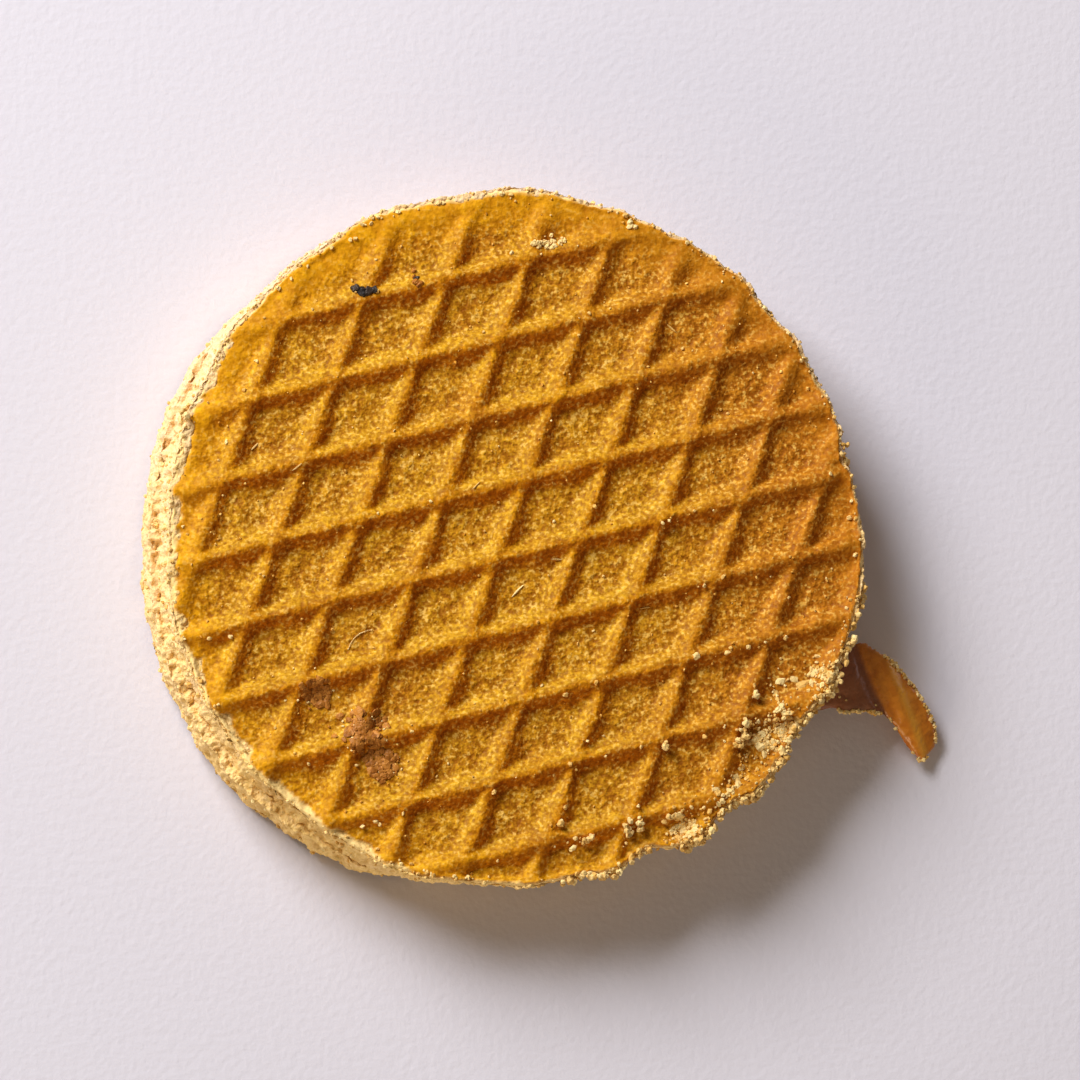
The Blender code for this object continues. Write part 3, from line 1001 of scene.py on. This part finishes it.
class Crumbs:
    """Collects crumbs of one kind and joins them in one mesh. Sizes and spreads are in mm."""

    def __init__(self, name, seed):
        self.name = name
        self.chance = random.Random(seed)
        self.points, self.faces, self.tints = [], [], []

    def drop(self, spot, facing, size, stretch=(1.0, 1.0, 1.0), tint=None, lift=0.15):
        """Puts one crumb on a surface, its middle lifted off it by a share of its size."""
        chance, size = self.chance, size * MM
        shape = chance.choice(large_shapes if size > LARGE_SHAPE_FROM else small_shapes)
        turn = Euler([chance.uniform(0.0, math.tau) for _ in range(3)]).to_matrix()
        flat = Euler((0.0, 0.0, chance.uniform(0.0, math.tau))).to_matrix()
        upright = facing.to_track_quat("Z", "Y").to_matrix()
        uneven = [chance.uniform(0.7, 1.25) for _ in range(3)]
        points = places(shape) * uneven @ np.array(turn).T * np.array(stretch) * size / MM
        points = points @ np.array(upright @ flat).T + np.array(spot + facing * lift * size)
        points[:, 2] -= max(0.0, points[:, 2].max() - HIGHEST_CRUMB)
        points[:, 2] -= min(0.0, points[:, 2].min())
        first = len(self.tints)
        self.faces += [[first + v for v in face.vertices] for face in shape.data.polygons]
        self.points.append(points)
        self.tints += [chance.random() if tint is None else tint] * len(points)

    def strew(self, count, radius, size, **more):
        """Drops crumbs from above all over the upper half, evenly."""
        for _ in range(count):
            reach = radius * math.sqrt(self.chance.random())
            spot, facing, _ = from_above(*around(self.chance.uniform(0.0, 360.0), reach))
            self.drop(spot, facing, size(), **more)

    def sprinkle(self, count, middle, spread, sizes, **more):
        """Drops crumbs from above round a spot, closest together in its middle."""
        for _ in range(count):
            spot, facing, _ = from_above(*[at + self.chance.gauss(0.0, spread) * MM for at in middle])
            if spot is not None:
                self.drop(spot, facing, self.chance.uniform(*sizes), **more)

    def heap(self, count, turn, spread, height, sizes):
        """Heaps crumbs on the side of the waffle round one place, some of them on others."""
        for _ in range(count):
            side = math.radians(self.chance.gauss(turn, spread))
            spot, facing, skin = from_side(side, self.chance.gauss(height, 0.5) * MM)
            if skin not in (None, caramel):
                self.drop(spot, facing, self.chance.uniform(*sizes), lift=self.chance.uniform(0.1, 0.9))

    def fibre(self, middle, heading, length):
        """Lays a thin bent fibre, built from a row of small crumbs that touch."""
        turn = math.radians(heading)
        along = Vector((math.cos(turn), math.sin(turn)))
        for step in range(FIBRE_CRUMBS):
            share = step / (FIBRE_CRUMBS - 1) - 0.5
            bend = 0.16 * (1.0 - 4.0 * share * share)
            x, y = Vector(middle) + length * MM * (share * along + bend * along.orthogonal())
            spot, facing, _ = from_above(x, y)
            self.drop(spot, facing, 0.13, tint=0.9, lift=0.6)

    def make(self, material):
        mesh = bpy.data.meshes.new(self.name)
        mesh.from_pydata(np.vstack(self.points).tolist(), [], self.faces)
        mesh.shade_flat()
        piece = bpy.data.objects.new(self.name, mesh)
        bpy.context.scene.collection.objects.link(piece)
        store(piece, "tint", self.tints)
        dress(piece, material)
        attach(piece, "root")
        print(len(self.points), "crumbs;", end=" ")
        report(piece)


# %% [markdown]
# ## Golden, pale, brown and burnt crumbs
#
# Golden crumbs have rubbed off the crust and lie all over it, most of them smaller than a grain of
# salt. Pale ones come from the torn edge and stick to it. At the front right the edge has crumbled,
# and there they lie close together. A few sit on the tongue of syrup, which holds them. Brown ones
# are soaked with syrup and lie in patches. At the back left a few crumbs are burnt black.

# %% Crumb materials
LOOSE_GRAIN = (0.82, 0.82, 0.82), (1.12, 1.12, 1.12)


def loose_finish(name, dark, light, roughness=0.7, specular=0.25):
    material, wiring, shader = new_finish(name, roughness, specular)
    grain = place_group(wiring, FLOUR_GRAIN, 0.25 * MM)
    shade = wiring.blend(wiring.attribute("tint"), dark, light)
    specks = wiring.blend(grain["Noise"], *LOOSE_GRAIN)
    shade = wiring.blend(1.0, shade, specks, "MULTIPLY")
    wiring.feed(shader.inputs["Base Color"], shade)
    wiring.feed(shader.inputs["Normal"], wiring.bump(grain["Noise"], 0.6, 0.06 * MM))
    return material


golden_material = loose_finish("golden crumbs", (0.66, 0.30, 0.03), (0.94, 0.62, 0.18))
pale_material = loose_finish("pale crumbs", (0.72, 0.41, 0.09), (0.96, 0.76, 0.36))
brown_material = loose_finish("syrupy crumbs", (0.33, 0.108, 0.012), (0.55, 0.222, 0.035), 0.5, 0.25)
burnt_material = loose_finish("burnt crumbs", (0.012, 0.010, 0.012), (0.05, 0.03, 0.02), 0.5, 0.4)

# %% Scatter them
# Two burnt places, as turn and distance
BLACK_CRUMB, BLACK_SPECKS = (121.6, 24.6), (110.5, 23.6)

golden = Crumbs("golden_crumbs", 11)
golden.strew(420, 29.0, lambda: 0.09 + 0.26 * golden.chance.random() ** 2)
for turn, reach in ((316.0, 27.8), (325.0, 28.8), (303.0, 28.8)):
    golden.sprinkle(26, around(turn, reach), 0.9, (0.15, 0.4))

pale = Crumbs("pale_crumbs", 12)
pale.strew(70, 28.5, lambda: pale.chance.uniform(0.16, 0.36))
pale.strew(7, 26.0, lambda: 0.4, stretch=(3.2, 0.45, 0.4))
pale.fibre(around(214.1, 15.8), 40.0, 2.6)
for _ in range(500):
    turn = pale.chance.uniform(0.0, 360.0)
    pale.sprinkle(1, around(turn, pale.chance.gauss(29.8, 0.3)), 0.1, (0.15, 0.45))
for height, spread in ((8.0, 0.4), (6.2, 0.8), (3.2, 0.8), (0.8, 0.4)):
    for _ in range(170):
        level = max(0.2, pale.chance.gauss(height, spread)) * MM
        spot, facing, skin = from_side(pale.chance.uniform(0.0, math.tau), level)
        if skin not in (None, caramel):
            pale.drop(spot, facing, pale.chance.uniform(0.15, 0.5))
for turn, count in (
    (283.0, 30), (287.0, 60), (294.0, 40), (303.0, 90), (309.0, 50), (314.0, 60), (322.0, 80),
    (329.0, 60), (335.0, 80), (343.0, 40), (351.0, 30), (14.0, 20), (158.0, 15),
):
    pale.heap(count, turn, 1.6, 7.7, (0.22, 0.7))
for shift in range(-2, 3):
    pale.sprinkle(8, around(83.0, 25.6, 0.55 * shift, 0.1 * shift), 0.24, (0.22, 0.5), tint=0.7)
for turn, reach, count, spread in (
    (301.0, 29.2, 26, 0.7), (312.0, 28.6, 10, 0.9), (321.5, 27.4, 20, 0.8),
    (326.0, 28.9, 26, 0.9), (336.5, 29.3, 22, 0.75), (331.0, 26.5, 6, 1.0),
):
    middle = around(turn, reach)
    pale.sprinkle(count, middle, spread, (0.5, 0.95), stretch=(1.25, 1.0, 0.7), lift=-0.12)
    pale.sprinkle(3 * count, middle, 1.2 * spread, (0.16, 0.4))
pale.sprinkle(4, around(69.0, 29.0), 0.25, (0.5, 0.8), tint=0.9)
tongue = np.flatnonzero(-upper_edge.inside(places(caramel)) > 2.0 * MM)
for heading, count in (((0.9, 0.43), 90), ((0.0, -1.0), 90)):
    rims = tongue[normals(caramel)[tongue, :2] @ np.array(heading) > 0.7]
    for _ in range(count):
        vertex = caramel.data.vertices[pale.chance.choice(rims.tolist())]
        pale.drop(vertex.co, vertex.normal, pale.chance.uniform(0.2, 0.5))

brown = Crumbs("brown_crumbs", 13)
for turn, reach, count, spread in ((218.7, 21.5, 16, 0.6), (232.6, 21.2, 34, 0.85), (240.1, 22.6, 18, 0.65)):
    middle = around(turn, reach)
    brown.sprinkle(3 * count, middle, spread, (0.45, 0.8), stretch=(1.2, 1.1, 0.4), lift=0.1)
    brown.sprinkle(2 * count, middle, spread, (0.2, 0.4))
    pale.sprinkle(count, middle, 1.1 * spread, (0.14, 0.28), tint=1.0)
brown.sprinkle(6, around(*BLACK_SPECKS), 0.35, (0.3, 0.6))

burnt = Crumbs("burnt_crumbs", 14)
for shift_x, shift_y, size in ((-0.6, 0.15, 0.95), (-0.1, -0.1, 0.95), (0.4, -0.1, 1.0), (0.85, 0.1, 0.7)):
    burnt.sprinkle(1, around(*BLACK_CRUMB, shift_x, shift_y), 0.02, (size, 1.05 * size))
burnt.sprinkle(3, around(*BLACK_SPECKS), 0.25, (0.25, 0.4))

golden.make(golden_material)
pale.make(pale_material)
brown.make(brown_material)
burnt.make(burnt_material)
for shape in small_shapes + large_shapes:
    bpy.data.objects.remove(shape)

# %% [markdown]
# ## Table, light and camera
#
# The waffle lies on pale lilac paper. One large soft light stands at the upper left, so each ridge
# has a bright side and a dark side. The camera looks almost straight down, leaning a little to the
# lower left, where the torn side of the waffle comes into view.

# %% Floor
def pale_floor():
    bpy.ops.object.select_all(action="DESELECT")
    bpy.ops.mesh.primitive_plane_add(size=3.0, location=(0.0, 0.0, -0.06 * MM))
    floor = bpy.context.object
    floor.name = "floor"
    material, wiring, shader = new_finish("lilac paper", 0.9, 0.2)
    shader.inputs["Base Color"].default_value = (0.75, 0.74, 0.86, 1.0)
    fibres = wiring.noise(1.0 / (0.7 * MM), 4.0)
    wiring.feed(shader.inputs["Normal"], wiring.bump(fibres, 0.25, 0.2 * MM))
    dress(floor, material)


pale_floor()

# %% Light
def direction(azimuth, elevation):
    """A unit vector towards a compass turn, in degrees from +X, and a height above the table."""
    turn, rise = math.radians(azimuth), math.radians(elevation)
    return Vector((math.cos(rise) * math.cos(turn), math.cos(rise) * math.sin(turn), math.sin(rise)))


def area_light(name, azimuth, elevation, distance, size, power, tint):
    bpy.ops.object.select_all(action="DESELECT")
    towards = direction(azimuth, elevation)
    bpy.ops.object.light_add(type="AREA", location=towards * distance)
    light = bpy.context.object
    light.name = name
    light.rotation_euler = towards.to_track_quat("Z", "Y").to_euler()
    light.data.size = size
    light.data.energy = power
    light.data.color = tint


area_light("window", 132.0, 33.5, distance=0.8, size=0.42, power=9.9, tint=(1.0, 0.975, 0.93))
area_light("low fill", 234.0, 14.0, distance=1.0, size=0.5, power=3.0, tint=(1.0, 0.80, 0.50))
area_light("fill", 310.0, 24.0, distance=1.0, size=0.8, power=0.7, tint=(1.0, 0.70, 0.40))
world = bpy.data.worlds.new("studio")
world.use_nodes = True
backdrop = world.node_tree.nodes["Background"]
backdrop.inputs["Color"].default_value = (1.0, 0.84, 0.68, 1.0)
backdrop.inputs["Strength"].default_value = 0.13
bpy.context.scene.world = world
bpy.context.scene.view_settings.view_transform = "Standard"

# %% Camera
CAMERA_TURN, CAMERA_RISE, CAMERA_DISTANCE = 215.0, 81.0, 0.62


def overhead_camera():
    bpy.ops.object.select_all(action="DESELECT")
    low, high = cad_box
    middle = Vector([(a + b) / 2.0 for a, b in zip(low, high)])
    back = direction(CAMERA_TURN, CAMERA_RISE)
    bpy.ops.object.camera_add(location=middle + back * CAMERA_DISTANCE)
    camera = bpy.context.object
    camera.name = "camera"
    camera.data.lens = 240.0
    camera.data.sensor_width = 36.0
    camera.data.clip_start = 0.01
    right = Vector((0.0, 1.0, 0.0)).cross(back).normalized()
    up = back.cross(right)
    camera.rotation_euler = Matrix((right, up, back)).transposed().to_euler()
    bpy.context.scene.camera = camera


overhead_camera()
